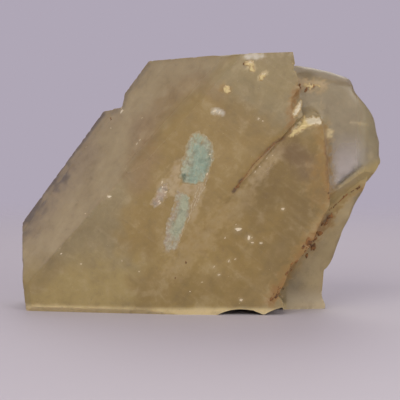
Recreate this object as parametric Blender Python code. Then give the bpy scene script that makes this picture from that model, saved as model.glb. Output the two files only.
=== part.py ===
"""A smoky quartz specimen: one honey-grey crystal mass standing on its cut base, with
blue-green blades included in its front face.

The mass is a broad crystal whose axis runs up to the right at about 50 degrees. A second unit
lies against it along an iron-stained seam, and two thinner plates grow out of its right side.

Lengths below are in millimetres and become metres in the mesh. +Z is up, and the front is
seen looking along +Y. Points are measured from the middle of the front view on the surface
that the specimen stands on. Every piece is then moved by CENTRE, so that the origin is under
the middle of the bounding box."""

import math

import bmesh
import bpy
from mathutils import Matrix, Vector

MM = 0.001

# Middle of the bounding box, which becomes the origin
CENTRE = Vector((-0.45, 2.75, 0.0))

# Colours of the pieces
HONEY_QUARTZ = (0.42, 0.30, 0.15, 1.0)
SEA_GREEN = (0.20, 0.46, 0.40, 1.0)
PALE_GREEN = (0.45, 0.56, 0.45, 1.0)
PALE_PINK = (0.62, 0.50, 0.42, 1.0)
CRYSTAL_ROUGHNESS = 0.25
BLADE_ROUGHNESS = 0.30

# The block that every crystal is cut from, and how far it reaches below the base until then
BLOCK = 260.0
SPARE = 3.0

# Included blades: how deep the front one lies, how thick it is and the gap around it
RECESS = 0.25
BLADE_THICKNESS = 1.3
GAP = 0.3

# Corners of the main crystal, each where three of its faces meet or where an edge passes
BASE_LEFT = Vector((-48.0, -5.2, 0.0))
BASE_FRONT = Vector((1.4, -14.8, 0.0))
FRONT_TOP = Vector((-14.4, -6.6, 71.6))
CORNER_LEFT = Vector((-50.1, -4.0, 0.6))
SHOULDER_LOW = Vector((-49.4, -4.3, 8.1))
SHOULDER_TOP = Vector((9.8, -11.2, 73.6))
FLANK_LOW = Vector((-51.0, -2.6, 8.2))
FLANK_CORNER = Vector((-52.6, 12.5, 24.4))
FLANK_TOP = Vector((-28.5, 15.0, 57.3))
LEDGE_CORNER = Vector((-23.2, 8.5, 58.5))
LEDGE_BACK = Vector((-10.0, 30.0, 58.0))
STEP_FOOT = Vector((-22.8, 8.5, 58.5))
LEDGE_LOWERING = Vector((0.0, 0.0, -0.15))
CROWN_LEFT = Vector((-15.0, 10.9, 72.0))
CROWN_RIGHT = Vector((25.9, -14.3, 74.0))

# The seam where the second unit meets the main crystal, and its step down from the front
SEAM_LOW = Vector((-14.2, -11.3, 7.0))
SEAM_HIGH = Vector((25.1, -15.6, 52.9))
SEAM_BACK = Vector((31.0, 14.4, 49.0))
SEAM_STEP = Vector((0.0, 1.3, 0.0))

UNIT_CORNER = Vector((36.3, -14.6, 31.4))

# Outlines in the front view, as X and Z
SECOND_UNIT = (
    (-20.0, -5.0), (-20.0, 6.0), (20.0, 56.0), (31.0, 58.5), (33.4, 57.0), (34.2, 53.0),
    (35.4, 46.0), (36.0, 39.0), (36.3, 31.4), (33.0, 24.9), (31.4, 20.1), (28.1, 16.4),
    (25.3, 13.5), (23.6, 8.7), (21.9, 5.8), (23.7, 3.2), (23.7, -5.0),
)
UPPER_PLATE = (
    (18.0, 69.0), (27.7, 70.4), (32.3, 69.8), (37.5, 68.6), (42.5, 66.9), (43.8, 65.0),
    (43.5, 63.8), (44.2, 62.7), (46.1, 60.5), (48.4, 57.8), (49.7, 55.6), (50.3, 53.4),
    (50.9, 50.6), (51.7, 48.5), (51.9, 42.4), (50.7, 40.9), (48.1, 37.4), (36.0, 29.5),
    (18.0, 34.0),
)
LOWER_PLATE = (
    (12.0, 30.0), (34.0, 36.0), (47.8, 38.2), (46.7, 34.5), (44.4, 30.5), (43.3, 27.3),
    (41.0, 22.6), (39.5, 18.2), (38.7, 15.9), (38.1, 13.8), (35.8, 11.5), (35.5, 6.8),
    (35.3, 3.9), (36.4, 1.2), (36.4, -3.0), (24.5, -3.0), (23.4, 3.6), (12.0, 9.0),
)
UPPER_BLADE = (
    (-3.4, 51.3), (1.4, 51.9), (4.2, 48.6), (3.7, 43.8), (2.0, 38.7), (-1.4, 36.7),
    (-5.6, 37.0), (-4.8, 43.7),
)
LOWER_BLADE = ((-6.2, 33.6), (-2.0, 33.4), (-3.7, 26.3), (-6.2, 18.4), (-9.9, 18.0), (-7.9, 28.2))
LEFT_BLADE = ((-10.9, 39.4), (-9.6, 37.6), (-11.4, 32.8), (-13.2, 30.8), (-14.1, 31.8), (-12.3, 37.4))

# Shell-shaped breaks: a point on the surface, the way it faces, and the radius and depth
BREAKS = {
    "break_crown": ((-1.0, 14.0, 65.0), (0.0, 0.85, 0.55), 24.0, 2.2),
    "break_crown_right": ((21.0, 1.5, 73.0), (0.35, 0.45, 0.82), 20.0, 1.7),
    "break_flank_back": ((-49.0, 20.0, 20.0), (-0.70, 0.70, 0.10), 24.0, 3.0),
    "break_flank_high": ((-37.0, 20.0, 45.0), (-0.55, 0.80, 0.25), 20.0, 1.8),
    "break_back_low": ((-20.0, 19.0, 2.0), (0.05, 0.80, -0.60), 30.0, 3.5),
    "break_back_right": ((23.0, 15.0, 30.0), (0.55, 0.83, 0.05), 24.0, 3.0),
    "break_base_left": ((-51.0, 10.0, 1.0), (-0.70, 0.10, -0.70), 13.0, 1.6),
    "break_edge_right": ((27.6, -15.4, 59.0), (0.66, -0.75, 0.10), 6.0, 1.8),
    "break_plate_ledge": ((30.8, -7.6, 67.4), (0.10, -0.75, 0.66), 6.0, 1.6),
    "break_plate_top": ((44.5, 5.0, 64.0), (0.45, 0.60, 0.66), 14.0, 1.4),
    "break_plate_foot": ((38.6, 8.5, 18.5), (0.75, 0.65, 0.05), 15.0, 1.8),
    "break_ledge": ((-24.6, 3.5, 58.6), (-0.45, -0.35, 0.82), 9.0, 0.9),
}
# Long rounded breaks that lift the base off the ground: radius, middle, tilt and swing
ARCHES = {
    "arch_left": (14.0, (12.0, 0.0, -12.2), 0.5, -2.0),
    "arch_right": (15.5, (25.6, 0.0, -13.1), -1.0, 4.0),
}
# Growth steps across the back: how far along the axis each starts, and how deep it is
BACK_STEPS = {"back_step_low": (8.0, 1.6), "back_step_high": (-14.0, 1.1)}
BACK_MIDDLE = Vector((-8.0, 18.0, 34.0))
STEP_BLOCK = Vector((60.0, 20.0, 150.0))
AXIS_TILT = 53.5
ARCH_LENGTH = 90.0
GROUND_BLOCK = Vector((160.0, 120.0, 30.0))


def face(*points):
    """A crystal face through three points, as a point and a direction square to it."""
    first, second, third = (Vector(point) for point in points)
    return first, (second - first).cross(third - first).normalized()


def slope(point, direction):
    """A crystal face through one point, looking in a direction."""
    return Vector(point), Vector(direction).normalized()


def sunk(plane, depth):
    """The same face moved back from the front by a depth."""
    point, direction = plane
    return point + Vector((0.0, depth, 0.0)), direction


FRONT = face(BASE_LEFT, BASE_FRONT, FRONT_TOP)
LEFT_END = face(FLANK_CORNER, FLANK_LOW, CORNER_LEFT)
LEFT_CORNER = face(SHOULDER_LOW, FLANK_LOW, BASE_LEFT)
FRONT_BEVEL = slope((-23.0, -9.9, 1.3), (-0.14, -0.72, -0.68))
BACK = slope((0, 17.0, 30), (0.06, 1, 0.05))


def trim(mesh, faces, heart):
    """Cuts a closed mesh by each named face, keeping the side that holds the heart, and caps it."""
    for point, direction in faces.values():
        outward = direction if (Vector(heart) - point).dot(direction) < 0 else -direction
        cut = bmesh.ops.bisect_plane(
            mesh,
            geom=mesh.verts[:] + mesh.edges[:] + mesh.faces[:],
            dist=1e-4,
            plane_co=point,
            plane_no=outward,
            clear_outer=True,
        )
        rim = [item for item in cut["geom_cut"] if isinstance(item, bmesh.types.BMEdge)]
        bmesh.ops.holes_fill(mesh, edges=rim, sides=0)
    bmesh.ops.recalc_face_normals(mesh, faces=mesh.faces[:])


def cut_crystal(faces, heart, below):
    """A crystal cut from one large cube by its faces."""
    mesh = bmesh.new()
    bmesh.ops.create_cube(mesh, size=BLOCK)
    trim(mesh, {**faces, "bottom": slope((0.0, 0.0, -below), (0.0, 0.0, -1.0))}, heart)
    return mesh


def slab(outline, near, far):
    """A flat outline in the front view, made solid from one depth to another."""
    curve = bpy.data.curves.new("outline", "CURVE")
    curve.dimensions = "2D"
    curve.fill_mode = "BOTH"
    curve.extrude = (far - near) / 2
    spline = curve.splines.new("POLY")
    spline.points.add(len(outline) - 1)
    for point, (x, z) in zip(spline.points, outline):
        point.co = (x, z, 0.0, 1.0)
    spline.use_cyclic_u = True
    guide = bpy.data.objects.new("outline", curve)
    bpy.context.scene.collection.objects.link(guide)
    graph = bpy.context.evaluated_depsgraph_get()
    flat = bpy.data.meshes.new_from_object(guide.evaluated_get(graph))
    mesh = bmesh.new()
    mesh.from_mesh(flat)
    bpy.data.objects.remove(guide, do_unlink=True)
    bmesh.ops.remove_doubles(mesh, verts=mesh.verts[:], dist=1e-4)
    bmesh.ops.rotate(mesh, verts=mesh.verts[:], matrix=Matrix.Rotation(math.pi / 2, 3, "X"))
    bmesh.ops.translate(mesh, verts=mesh.verts[:], vec=(0.0, (near + far) / 2, 0.0))
    bmesh.ops.recalc_face_normals(mesh, faces=mesh.faces[:])
    return mesh


def cut_slab(outline, near, far, faces, heart):
    """A crystal made from its outline in the front view, then cut by its faces."""
    mesh = slab(outline, near, far)
    trim(mesh, faces, heart)
    return mesh


def grown(outline, gap):
    """The outline with every side moved out by a gap."""
    moved = []
    for index, here in enumerate(outline):
        before = Vector(here) - Vector(outline[index - 1])
        after = Vector(outline[(index + 1) % len(outline)]) - Vector(here)
        sides = [Vector((-way.y, way.x)).normalized() for way in (before, after)]
        corner = (sides[0] + sides[1]).normalized()
        moved.append(Vector(here) + corner * gap / corner.dot(sides[0]))
    return moved


def blade(outline, recess, thickness):
    """A thin blade that lies along the front face, a little below it."""
    x, z = sum((Vector(point) for point in outline), Vector((0.0, 0.0))) / len(outline)
    point, direction = FRONT
    front_y = point.y - ((x - point.x) * direction.x + (z - point.z) * direction.z) / direction.y
    faces = {"front": sunk(FRONT, recess), "back": sunk(FRONT, recess + thickness)}
    return cut_slab(outline, -30.0, 10.0, faces, (x, front_y + recess + thickness / 2, z))


def finished(name, mesh, collection):
    """The mesh as an object in metres, with the origin under the middle of the specimen."""
    bmesh.ops.translate(mesh, verts=mesh.verts[:], vec=-CENTRE)
    bmesh.ops.scale(mesh, verts=mesh.verts[:], vec=(MM, MM, MM))
    data = bpy.data.meshes.new(name)
    mesh.to_mesh(data)
    mesh.free()
    thing = bpy.data.objects.new(name, data)
    collection.objects.link(thing)
    return thing


def combine(thing, other, operation):
    """Joins another object to a thing, or cuts it away, and hides the other object."""
    other.hide_render = True
    other.display_type = "WIRE"
    step = thing.modifiers.new(other.name, "BOOLEAN")
    step.operation = operation
    step.solver = "EXACT"
    step.object = other


def give_material(thing, name, colour, roughness):
    """A plain finish for one piece."""
    made = bpy.data.materials.new(name)
    made.use_nodes = True
    shader = made.node_tree.nodes["Principled BSDF"]
    shader.inputs["Base Color"].default_value = colour
    shader.inputs["Roughness"].default_value = roughness
    shader.inputs["Metallic"].default_value = 0.0
    made.diffuse_color = colour
    thing.data.materials.append(made)


def main_crystal():
    """The broad crystal on the left, above the seam."""
    faces = {
        "front": FRONT,
        "front bevel": FRONT_BEVEL,
        "back": BACK,
        "left end": LEFT_END,
        "left corner": LEFT_CORNER,
        "left flank": face(SHOULDER_LOW, SHOULDER_TOP, LEDGE_CORNER),
        "crown's left": slope(CROWN_LEFT, (-0.80, 0.35, 0.58)),
        "top": face(CROWN_LEFT, CROWN_RIGHT, SHOULDER_TOP),
        "top's back slope": slope(CROWN_LEFT, (0.05, 0.62, 0.78)),
        "right": slope(CROWN_RIGHT, (0.98, 0.10, 0.16)),
        "seam": face(SEAM_LOW, SEAM_HIGH, SEAM_BACK),
    }
    return cut_crystal(faces, (-8.0, 2.0, 34.0), SPARE)


def flank_layer():
    """The growth layer on the left flank, which ends in a ledge below the crown. Where it
    lies against the main crystal it is sunk a little, so that no two faces share a plane."""
    faces = {
        "front": sunk(FRONT, 0.12),
        "front bevel": sunk(FRONT_BEVEL, 0.12),
        "back": sunk(BACK, -0.5),
        "left corner": sunk(LEFT_CORNER, 0.15),
        "left end": slope(FLANK_LOW - Vector((0.2, 0.0, 0.0)), LEFT_END[1]),
        "left flank": face(SHOULDER_LOW, SHOULDER_TOP, FLANK_CORNER),
        "back flank": slope(FLANK_CORNER, (-0.68, 0.50, 0.46)),
        "ledge": face(FLANK_TOP, LEDGE_CORNER, LEDGE_BACK),
        "inner side": slope((-10.0, 0.0, 30.0), (0.8, 0.0, -0.3)),
    }
    return cut_crystal(faces, (-25.0, 6.0, 30.0), SPARE + 1)


def over_ledge():
    """The space over the flank's ledge, which leaves a steep step where the crown rises."""
    ledge, direction = face(FLANK_TOP, LEDGE_CORNER, LEDGE_BACK)
    faces = {
        "ledge": (ledge + LEDGE_LOWERING, direction),
        "step": slope(STEP_FOOT, (-0.97, 0.10, 0.12)),
    }
    return cut_crystal(faces, (-60.0, 8.0, 90.0), SPARE)


def second_unit():
    """The unit to the right of the seam, a step lower than the main crystal's front."""
    faces = {
        "front near the base": sunk(FRONT, 0.25),
        "front bevel near the base": sunk(FRONT_BEVEL, 0.25),
        "front": face(SEAM_LOW, SEAM_HIGH + SEAM_STEP, UNIT_CORNER),
        "front bevel": slope((10.0, -14.0, 1.2), (-0.05, -0.73, -0.68)),
        "back": slope((0.0, 16.2, 30.0), (0.06, 1.0, 0.05)),
        "top ledge": slope((30.5, -14.6, 53.9), (-0.20, -0.55, 0.80)),
        "right of the back": slope((28.0, 12.0, 30.0), (0.62, 0.75, 0.15)),
    }
    return cut_slab(SECOND_UNIT, -22.0, 24.0, faces, (10.0, 0.0, 25.0))


def upper_plate():
    """The clear plate at the upper right, with a bevelled rim around a flat window."""
    faces = {
        "window": slope((40.0, -7.0, 50.0), (0.10, -0.99, 0.05)),
        "right rim": slope((47.4, -6.0, 46.0), (0.70, -0.70, 0.02)),
        "lower rim": slope((41.0, -6.3, 35.2), (0.50, -0.62, -0.62)),
        "upper rim": slope((40.0, -6.0, 65.5), (0.20, -0.55, 0.80)),
        "back": slope((44.0, 6.0, 50.0), (0.35, 0.93, 0.05)),
        "back's right rim": slope((50.0, 1.5, 50.0), (0.80, 0.60, 0.0)),
        "back's upper rim": slope((40.0, 3.5, 66.0), (0.15, 0.60, 0.78)),
    }
    return cut_slab(UPPER_PLATE, -9.0, 10.0, faces, (36.0, 0.0, 50.0))


def lower_plate():
    """The pale plate at the lower right, whose foot carries that end of the specimen."""
    faces = {
        "front": face((24.5, -0.8, 0.0), (36.4, 1.0, 0.0), (44.0, -4.0, 32.0)),
        "back of the foot": slope((38.5, 11.0, 10.0), (0.75, 0.65, 0.0)),
        "back": slope((40.0, 6.5, 30.0), (0.45, 0.85, 0.25)),
    }
    return cut_slab(LOWER_PLATE, -9.0, 14.0, faces, (30.0, 4.0, 20.0))


def shell_break(point, direction, radius, depth):
    """A ball that leaves a shell-shaped break of this depth where it meets the surface."""
    mesh = bmesh.new()
    bmesh.ops.create_uvsphere(mesh, u_segments=40, v_segments=20, radius=radius)
    way = Vector(direction).normalized()
    bmesh.ops.rotate(mesh, verts=mesh.verts[:], matrix=way.to_track_quat("X", "Z").to_matrix())
    bmesh.ops.translate(mesh, verts=mesh.verts[:], vec=Vector(point) + way * (radius - depth))
    return mesh


def arch(radius, middle, tilt, swing):
    """A long round cutter along the depth, which hollows the underside."""
    mesh = bmesh.new()
    bmesh.ops.create_cone(
        mesh,
        cap_ends=True,
        segments=56,
        radius1=radius,
        radius2=radius,
        depth=ARCH_LENGTH,
    )
    lay = Matrix.Rotation(math.radians(90 + tilt), 3, "X")
    turn = Matrix.Rotation(math.radians(swing), 3, "Z")
    bmesh.ops.rotate(mesh, verts=mesh.verts[:], matrix=turn @ lay)
    bmesh.ops.translate(mesh, verts=mesh.verts[:], vec=middle)
    return mesh


def box(lengths, middle):
    """A box with its lengths along X, Y and Z."""
    mesh = bmesh.new()
    bmesh.ops.create_cube(mesh, size=1.0)
    bmesh.ops.scale(mesh, verts=mesh.verts[:], vec=lengths)
    bmesh.ops.translate(mesh, verts=mesh.verts[:], vec=middle)
    return mesh


def back_step(start, depth):
    """A block behind the back face, square to the axis, which leaves one growth step."""
    mesh = box(STEP_BLOCK, (start + STEP_BLOCK.x / 2, STEP_BLOCK.y / 2 - depth, 0.0))
    tilt = Matrix.Rotation(math.radians(-AXIS_TILT), 3, "Y")
    bmesh.ops.rotate(mesh, verts=mesh.verts[:], matrix=tilt)
    bmesh.ops.translate(mesh, verts=mesh.verts[:], vec=BACK_MIDDLE)
    return mesh


def ground():
    """The block below the base, which leaves the flat surface that the specimen stands on."""
    return box(GROUND_BLOCK, (0.0, 0.0, -GROUND_BLOCK.z / 2))


def build_crystal(shown, cutters):
    """The whole crystal mass: its units joined, then its breaks, arches and pockets cut."""
    crystal = finished("quartz_crystal", main_crystal(), shown)
    for make in (flank_layer, second_unit):
        combine(crystal, finished(make.__name__, make(), cutters), "UNION")
    combine(crystal, finished("over_ledge", over_ledge(), cutters), "DIFFERENCE")
    for name, sizes in ARCHES.items():
        combine(crystal, finished(name, arch(*sizes), cutters), "DIFFERENCE")
    for name, sizes in BACK_STEPS.items():
        combine(crystal, finished(name, back_step(*sizes), cutters), "DIFFERENCE")
    for make in (upper_plate, lower_plate):
        combine(crystal, finished(make.__name__, make(), cutters), "UNION")
    for name, sizes in BREAKS.items():
        combine(crystal, finished(name, shell_break(*sizes), cutters), "DIFFERENCE")
    combine(crystal, finished("ground", ground(), cutters), "DIFFERENCE")
    give_material(crystal, "honey_quartz", HONEY_QUARTZ, CRYSTAL_ROUGHNESS)
    return crystal


def build_blade(crystal, name, outline, colour, shown, cutters):
    """One included blade, and the pocket in the crystal that it lies in."""
    piece = finished(name, blade(outline, RECESS, BLADE_THICKNESS), shown)
    give_material(piece, name, colour, BLADE_ROUGHNESS)
    pocket = blade(grown(outline, GAP), -SPARE, SPARE + RECESS + BLADE_THICKNESS + GAP)
    combine(crystal, finished(name + "_pocket", pocket, cutters), "DIFFERENCE")


def build():
    """Makes every piece of the specimen."""
    for thing in list(bpy.data.objects):
        bpy.data.objects.remove(thing, do_unlink=True)
    shown = bpy.data.collections.new("smoky_quartz_specimen")
    cutters = bpy.data.collections.new("cutters")
    bpy.context.scene.collection.children.link(shown)
    bpy.context.scene.collection.children.link(cutters)
    crystal = build_crystal(shown, cutters)
    build_blade(crystal, "blue_green_blade_upper", UPPER_BLADE, SEA_GREEN, shown, cutters)
    build_blade(crystal, "blue_green_blade_lower", LOWER_BLADE, PALE_GREEN, shown, cutters)
    build_blade(crystal, "pale_blade_left", LEFT_BLADE, PALE_PINK, shown, cutters)


build()
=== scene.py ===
"""Finishes a smoky quartz specimen: a honey-grey crystal mass with blue-green blades in it.

The file is laid out as an add-on. Each group of pieces has its settings and an operator, and
the panel lists them. The crystal is remade from the solid as a fine skin with worn edges and
rippled breaks, and its haze, honey core and rust stains are computed from lines drawn on its
front, with some light and shade painted into its tone. Everything else is placed on that skin:
the granular blades in its face, the fibres beside them, the healed cracks just below it, and the
glints, painted as pale flakes, and the crumbs and flakes on it.

Points on the specimen are given as X and Z in millimetres, as they are seen from the front."""

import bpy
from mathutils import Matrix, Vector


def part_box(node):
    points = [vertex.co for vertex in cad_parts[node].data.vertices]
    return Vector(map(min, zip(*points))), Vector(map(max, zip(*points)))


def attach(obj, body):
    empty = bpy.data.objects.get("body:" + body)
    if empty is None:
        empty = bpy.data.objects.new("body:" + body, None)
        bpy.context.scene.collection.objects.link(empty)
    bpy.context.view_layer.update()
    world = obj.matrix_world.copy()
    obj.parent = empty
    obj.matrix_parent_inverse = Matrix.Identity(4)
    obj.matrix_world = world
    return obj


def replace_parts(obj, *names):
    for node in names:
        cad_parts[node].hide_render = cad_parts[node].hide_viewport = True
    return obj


bl_info = {
    "name": "Smoky Quartz Specimen",
    "version": (1, 0, 0),
    "blender": (4, 5, 0),
    "location": "View3D > Sidebar > Quartz",
    "description": "Finishes a quartz specimen with its blades, cracks, stains and glints",
    "category": "Add Mesh",
}

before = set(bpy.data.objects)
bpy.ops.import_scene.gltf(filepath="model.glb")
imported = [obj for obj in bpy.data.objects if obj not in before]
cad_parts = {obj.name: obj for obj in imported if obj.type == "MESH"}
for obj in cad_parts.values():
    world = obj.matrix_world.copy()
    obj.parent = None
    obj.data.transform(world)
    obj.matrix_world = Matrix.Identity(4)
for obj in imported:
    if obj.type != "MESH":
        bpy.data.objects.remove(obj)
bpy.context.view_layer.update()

import math

import bmesh
import bpy
import numpy as np
from bpy.props import FloatProperty, FloatVectorProperty, IntProperty, PointerProperty
from bpy.types import Operator, Panel, PropertyGroup
from mathutils import Matrix, Vector, noise
from mathutils.bvhtree import BVHTree
from mathutils.kdtree import KDTree

MM = 0.001
CRYSTAL = "quartz_crystal"
UPPER_BLADE = "blue_green_blade_upper"
LOWER_BLADE = "blue_green_blade_lower"
LEFT_BLADE = "pale_blade_left"
BODY = "root"

# The crystal axis and the blades lean to the right in the front view
AXIS_TILT = math.radians(53.5)
BLADE_TILT = math.radians(72.0)

# What counts as a sharp edge and as a broad face of the solid, the latter in square millimetres
SHARP_EDGE = math.radians(14)
BROAD_FACE = 45.0

# Middle of the rings that the breaks show, in metres
RING_CENTRE = np.array((0.01, 0.05, 0.09))

# Radius of the floor and where it fades out, in metres
FLOOR_RADIUS = 0.6
FLOOR_FADE = (0.2, 0.5)

# Lights: their colour, the point that they face, and the name, place and width of each in metres
LIGHT_COLOUR = (1.0, 0.97, 0.90)
LIT_POINT = (0.0, 0.0, 0.035)
LIGHTS = (
    ("key_light", (-0.25, -0.62, 0.5), 0.55),
    ("fill_light", (0.5, -0.55, 0.2), 0.5),
    ("back_light", (0.1, 0.6, 0.6), 0.5),
)

# Second colours of the small pieces
PALE_GLINT = (0.66, 0.58, 0.42)
PALE_RUST = (0.27, 0.12, 0.030)
DEEP_CRUST = (0.56, 0.43, 0.20)
CRUST_BED = (0.34, 0.235, 0.10)
CRUST_HEART = (0.57, 0.50, 0.34)
PALE_FIBRE = (0.46, 0.37, 0.23)
DARK_FIBRE = (0.33, 0.25, 0.14)
DARK_FILM = (0.50, 0.36, 0.22)

# Seeds of the random draws
FIBRE_SEED = 4
GLINT_SEED = 21
RUST_SEED = 22


def path(*numbers):
    """A line or an outline, from the X and Z of its corners in turn."""
    return tuple(zip(numbers[::2], numbers[1::2]))


# Lines and outlines on the front
CRACK = path(25.8, 52, 23.9, 50, 21.1, 48.5, 18.4, 45.7, 15.3, 42.6, 12.9, 39, 10.3, 35.7)
RIDGE = path(10.3, 35.7, 7.5, 32.6, 1.9, 26.4, -3.8, 19.8, -9.4, 12.1, -14.3, 6.4, -18, 1.7)
TOP_LEDGE = path(27.3, 52.2, 28.8, 53.5, 31.2, 54.5, 33.6, 54.7)
UNIT_EDGE = path(34.6, 53, 35.6, 49.3, 36.2, 43.6, 36.5, 38, 36.6, 32.8)
CROWN_LEDGE = path(34.8, 64.7, 32.2, 64.4, 29.6, 65.3)
CROWN_STAIN = path(29, 65.1, 27.2, 62.6, 26.3, 60.4, 25.8, 56.8, 25.8, 53)
CROWN_TOP = path(29.8, 69.1, 34.7, 68.9, 39.9, 67.7, 43.2, 66)
PLATE_CRACK = path(46.5, 36.1, 42.8, 33.8, 38.5, 30, 36.2, 25.2)
SEAM = path(38, 30, 36, 26.6, 33.4, 22.6, 30.8, 19.5, 29.4, 16.7, 27.2, 13.8, 24.9, 10, 22.2, 5.8)
SEAM_FOOT = path(29.4, 18.2, 27.9, 15.4, 25.8, 12.4, 23.8, 8.8, 21.4, 5.2)
FLANK_LINE = path(-51.5, 24.4, -45.5, 32.2, -40.4, 38.4, -35.1, 45.5, -29.1, 53.2, -25.2, 56.7)
FLANK_EDGE = path(-52, 24.4, -49.3, 28.6, -46.5, 32.2, -43.9, 35.7, -41.6, 39.3, -36.2, 46.4, -28.4, 56.5)
UPPER_RIM = path(-25.2, 56.7, -22.3, 58.6, -21.6, 62.4, -14.8, 70.8)
SHOULDER = path(-30, 29.1, 10.2, 73.6)
CORE_ARC = path(
    -18, 35.1, -18.6, 42.2, -16.7, 49.2, -13.3, 55.5, -9.6, 60.6, -5.8, 63.7, -1, 65.4, 3.8, 62.9,
    8.3, 60, 14, 57.6,
)
CORE = CORE_ARC + path(25, 51, 35, 51, 36, 30, 26, 12, 10, 4, -12, 9, -22, 21)
WINDOW = path(
    39.1, 48.7, 41.9, 49.8, 45.4, 49, 46.6, 46.4, 45, 42, 42, 37.2, 39.7, 34.6, 38.2, 38.5, 38, 43.6,
)
RIM_BAND = path(51.5, 41.1, 47.9, 39.2, 43.9, 36.1, 39.9, 32.6, 37.7, 30)
FLANK_GROOVE = path(-49.5, 13, -43, 23.5, -36.2, 33.9, -27.2, 47.5, -21.4, 56.5)
FIBRES = (
    path(2.6, 39.8, 2.1, 37.4, 1.4, 35.7, 0.3, 33.2, -0.9, 30.4),
    path(0.1, 37.4, -0.3, 35.1, -0.7, 33.8, -1.8, 31.6, -2.2, 28.6, -3.1, 25.8),
    path(1.4, 37.6, 0.8, 35.6, 0, 33.8, -1, 31.6, -1.6, 29.4),
    path(-4.1, 25.2, -5, 22.5, -5.9, 19.9),
)
TEAL_LINE = path(-0.3, 49.4, 0.5, 46, 0.6, 42.6, -1.4, 38.6)

# Marks on the blades: which mark, line, reach in millimetres and strength
UPPER_MARKS = (
    ("heart", TEAL_LINE[:2], 2.2, 0.5),
    ("heart", TEAL_LINE[1:], 4, 1.15),
    ("spot", path(-4.1, 39.4, -4.5, 37.4), 0.9, 1.4),
    ("spot", path(3.1, 44.6, 3, 44.2), 0.5, 0.8),
    ("spot", path(2.9, 43.4, 2.2, 40.6), 1.3, 0.5),
)
LOWER_MARKS = (
    ("heart", path(-3.6, 32.6, -4.4, 29.5, -5, 26, -6.4, 23.4), 2.6, 1.1),
    ("spot", path(-7, 26.2, -7.2, 25.6), 0.7, 0.6),
)
LEFT_MARKS = (("heart", path(-10.8, 33.2, -12, 31.8), 1.8, 1),)

# Outlines of the blades and of crusts on the front
UPPER_OUTLINE = path(
    -0.1, 51.9, 2.4, 50.5, 4.4, 47.7, 4.1, 43.7, 3, 40.9, 1.9, 38.1, -1, 36.9, -4.4, 37.5, -5.5, 38.7,
    -4.4, 43.7, -2.9, 48.5, -1.8, 51,
)
LOWER_OUTLINE = path(
    -6.3, 35.3, -2.9, 34.2, -2.1, 31, -2.7, 27.9, -4.1, 24.5, -5.8, 19.4, -6.9, 18.2, -9.5, 17.9,
    -9.7, 21.1, -8.6, 26.2, -6.9, 31,
)
LEFT_OUTLINE = path(
    -8.8, 37.2, -8.3, 35.6, -9, 33.4, -10.8, 31.1, -12.6, 30, -13.3, 31.3, -12.6, 33.4, -11.4, 35.2,
    -10, 37,
)
WEDGE = path(
    25, 50.6, 27.3, 52.6, 28.9, 53.9, 29.1, 55.9, 30, 56.4, 30.7, 55.3, 32.1, 55.9, 34, 55.8, 34.9, 54.1,
    32.5, 53.8, 30.6, 53.1, 28.4, 52, 26.4, 50.6,
)
LEAF = path(29, 60.6, 28.1, 59.8, 27.3, 58.7, 26.3, 57, 26.5, 55.8, 27.5, 56.5, 28.4, 57.8, 29.2, 59.2)
TOP_FLAKE = path(12.8, 71.5, 15.6, 71.7, 15.8, 68.6, 14.2, 68.6, 14, 70.1, 12.9, 70.1)
SMALL_FLAKE = path(16.7, 67.3, 17.5, 68.4, 19.2, 68.6, 19.4, 67.6, 18.3, 66.8, 18.1, 65.9, 17.1, 66.2)
ORANGE_FLAKE = path(6.6, 64.3, 7.7, 65.1, 8.9, 64.6, 9.1, 62.9, 8, 62.3, 6.9, 62.9)
CROWN_CRUST = path(
    29, 65.1, 30.5, 65.8, 32.7, 65.7, 35, 64.9, 35.3, 64, 33.3, 63.9, 31.9, 63.2, 30.2, 63.7,
)

# Crusts: outline, raggedness and how far they reach beyond it, in millimetres
CRUSTS = (
    (WEDGE, 0.45, 0.35), (LEAF, 0.2, 0.4), (TOP_FLAKE, 0.3, 0.1), (SMALL_FLAKE, 0.5, 0.1),
    (ORANGE_FLAKE, 0.4, 0.1), (CROWN_CRUST, 0.8, -0.3),
)

# Whitest parts of the crusts: mark, line, reach in millimetres and strength
CRUST_MARKS = (
    ("heart", path(31.6, 55.2, 34.4, 55.2), 2.2, 1.4),
    ("heart", path(28.6, 59.9, 26.8, 56.6), 1.2, 1.2),
    ("heart", path(14.2, 71.6, 15.8, 71.2), 0.9, 0.8),
    ("heart", path(17.4, 68, 19, 68), 0.6, 0.8),
)

# Clusters of rust crumbs on the front: X, Z and spread in millimetres, and count
RUST_SPOTS = (
    (37.6, 27, 0.5, 8), (36.3, 25.3, 0.4, 6), (34.6, 22.8, 0.4, 7), (33.2, 20.4, 0.6, 9),
    (31.4, 20.3, 0.6, 9), (30.4, 19, 0.5, 7), (32.8, 17.9, 0.6, 7), (29.9, 16.2, 0.5, 4),
    (27.6, 15.6, 0.5, 5), (26.2, 14.5, 0.4, 5), (24.8, 12.2, 0.3, 3), (23.1, 7.9, 0.4, 3),
    (24.3, 6.4, 0.3, 3), (21.9, 5.7, 0.4, 4), (21, 4.6, 0.3, 2), (32.4, 64.4, 0.3, 4),
    (30.4, 63.7, 0.3, 4), (28.9, 64.6, 0.3, 2), (-3.5, 14.9, 0.1, 2), (-6.6, 10.5, 0.1, 2),
    (-25.8, 55.1, 0.2, 2), (12.9, 70.4, 0.2, 2), (10.9, 36.4, 0.3, 4),
)

# Section of a strand: shares of its width across and of its height up, and how deep it is sunk
STRAND_SECTION = (
    (0.5, 0.3, 0.0), (0.15, 1.0, 0.0), (-0.2, 0.9, 0.0), (-0.5, 0.2, 0.0), (-0.3, 0.0, 0.6), (0.3, 0.0, 0.6),
)

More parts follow.
